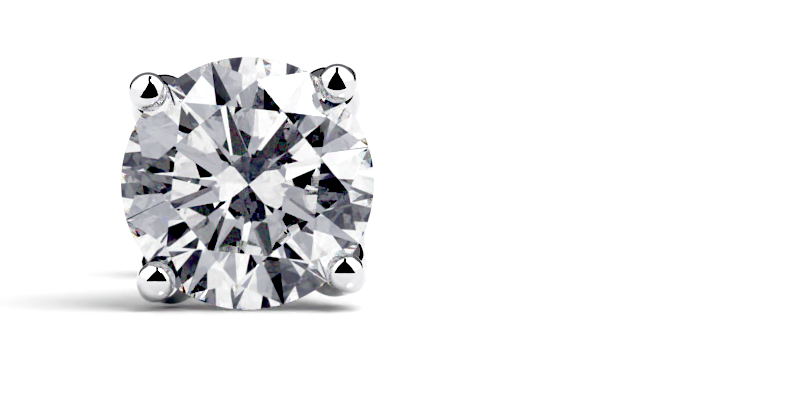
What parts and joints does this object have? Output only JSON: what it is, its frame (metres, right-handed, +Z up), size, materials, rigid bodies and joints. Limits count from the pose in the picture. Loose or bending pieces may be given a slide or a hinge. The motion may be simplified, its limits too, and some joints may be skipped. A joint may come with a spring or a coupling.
{
  "type": "stud earring",
  "caption": "Stud earring with a round brilliant stone in a ball-tipped basket setting, on a straight post with a butterfly clutch.",
  "frame": {"origin": "on the floor that the stud lies on, under the middle of its outline", "axes": "+Z up, the stone faces -Y and slightly up, the post runs back towards +Y, +X to the right as seen from in front of the stone"},
  "size_m": [0.0064, 0.0154, 0.0065],
  "materials": {
    "stone": "flat polished facets on a colourless stone",
    "white_gold": "mirror-polished rhodium-plated white gold",
    "clutch_gold": "bright rolled white gold strip"
  },
  "bodies": {
    "root": {"stone": "stone", "basket_setting": "white_gold", "butterfly_clutch": "clutch_gold"}
  },
  "joints": []
}
